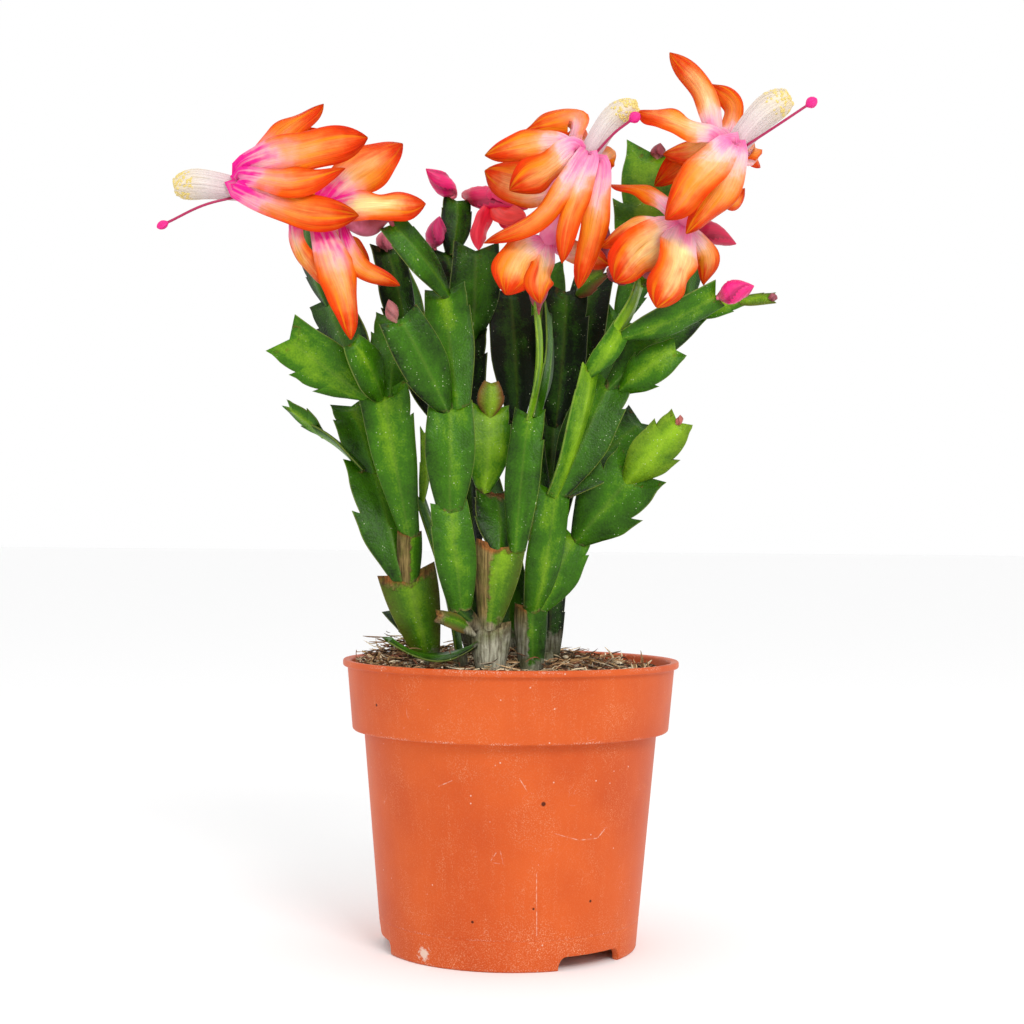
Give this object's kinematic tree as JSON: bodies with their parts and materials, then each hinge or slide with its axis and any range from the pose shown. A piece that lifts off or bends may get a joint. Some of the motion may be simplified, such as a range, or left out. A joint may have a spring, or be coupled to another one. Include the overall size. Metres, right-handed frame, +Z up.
{
  "type": "potted christmas cactus",
  "caption": "Christmas cactus with flat toothed stem segments, orange and pink layered blooms and buds, in a round terracotta-coloured plastic nursery pot with soil.",
  "frame": {"origin": "the middle of the pot's foot, on the surface that it stands on", "axes": "+Z up along the pot's axis, the plant's show side faces -Y, +X to the viewer's right"},
  "size_m": [0.2238, 0.12, 0.3143],
  "materials": {
    "pot_plastic": "moulded polypropylene, satin, lightly scuffed",
    "potting_soil": "dry peat and bark fibre, loose and rough",
    "green_stem_segments": "waxy succulent skin, satin",
    "orange_pink_petals": "thin petal, silky, pink at the root and orange at the tip",
    "cream_stamens": "cream white filaments, matte",
    "magenta_style": "moist petal tissue, satin",
    "pink_red_petals": "thin petal, silky",
    "magenta_buds": "rolled petals, satin"
  },
  "bodies": {
    "root": {"bloom_left_stamens": "cream_stamens", "bloom_left_style": "magenta_style", "bloom_left_tepals": "orange_pink_petals", "bloom_middle_stamens": "cream_stamens", "bloom_middle_style": "magenta_style", "bloom_middle_tepals": "orange_pink_petals", "bloom_right_stamens": "cream_stamens", "bloom_right_style": "magenta_style", "bloom_right_tepals": "orange_pink_petals", "bud_back": "magenta_buds", "bud_back_left": "magenta_buds", "bud_ball": "magenta_buds", "bud_behind": "magenta_buds", "bud_between": "magenta_buds", "bud_brown": "magenta_buds", "bud_far_right": "magenta_buds", "bud_low": "magenta_buds", "bud_right": "magenta_buds", "bud_seed": "magenta_buds", "bud_tall": "magenta_buds", "bud_top": "magenta_buds", "bud_twin": "magenta_buds", "cutting_back": "green_stem_segments", "cutting_back_left": "green_stem_segments", "cutting_back_right": "green_stem_segments", "cutting_left": "green_stem_segments", "cutting_middle": "green_stem_segments", "cutting_right": "green_stem_segments", "cutting_shoot": "green_stem_segments", "opening_bloom": "pink_red_petals", "pot": "pot_plastic", "soil": "potting_soil"}
  },
  "joints": []
}
